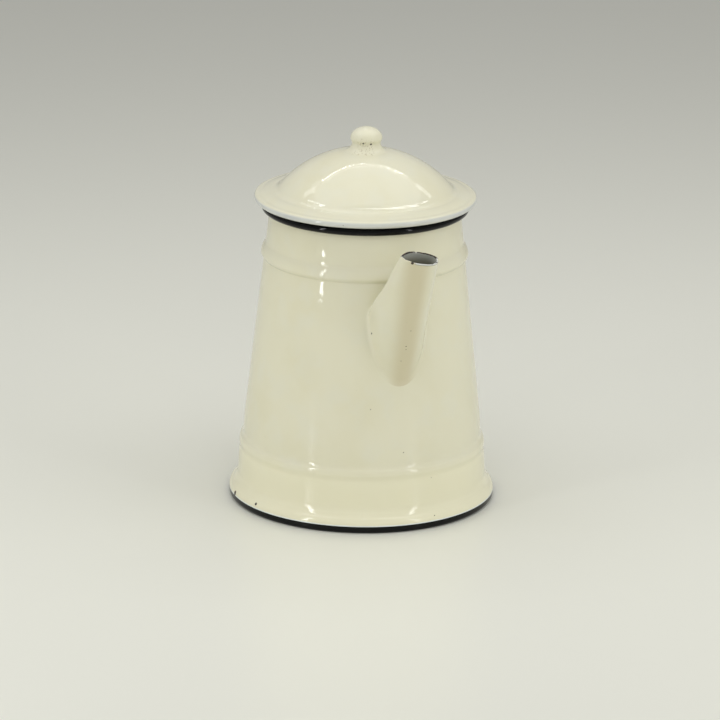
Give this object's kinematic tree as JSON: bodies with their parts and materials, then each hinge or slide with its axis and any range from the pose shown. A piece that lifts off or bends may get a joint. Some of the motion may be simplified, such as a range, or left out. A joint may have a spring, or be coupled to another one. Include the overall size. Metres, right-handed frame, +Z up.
{
  "type": "coffee pot",
  "caption": "Tapered enamelled sheet-steel coffee pot with a straight spout, a strap handle at the back and a domed lid on a riveted hinge.",
  "frame": {"origin": "on the pot's axis, in the plane of the table it stands on", "axes": "+Z up along the pot's axis, +X towards the spout, the handle and hinge at -X, the hinge pin along Y"},
  "size_m": [0.1849, 0.136, 0.1935],
  "materials": {
    "cream_enamel": "glossy cream vitreous enamel with small chips",
    "black_enamel": "glossy black vitreous enamel",
    "white_enamel": "glossy grey-white vitreous enamel",
    "steel": "plain drawn steel, dulled"
  },
  "bodies": {
    "pot": {"body_wall": "cream_enamel", "foot_skirt": "cream_enamel", "spout_front": "cream_enamel", "spout_back": "cream_enamel", "handle_strap": "cream_enamel", "hinge_bracket": "cream_enamel", "rim_roll": "black_enamel", "foot_roll": "black_enamel", "base_pan": "white_enamel", "rim_wire": "steel", "foot_wire": "steel", "hinge_pin": "steel", "hinge_rivets": "steel", "strap_rivets": "steel"},
    "lid": {"lid_shell": "cream_enamel", "lid_collar": "white_enamel", "knob": "cream_enamel", "knob_rivet": "steel", "lid_leaf": "cream_enamel", "leaf_rivets": "steel"}
  },
  "joints": [
    {"name": "lid_hinge", "type": "hinge", "parent": "pot", "child": "lid", "pos_m": [-0.06, 0, 0.15686], "axis": [0, -1, 0], "range_deg": [0, 100]}
  ]
}
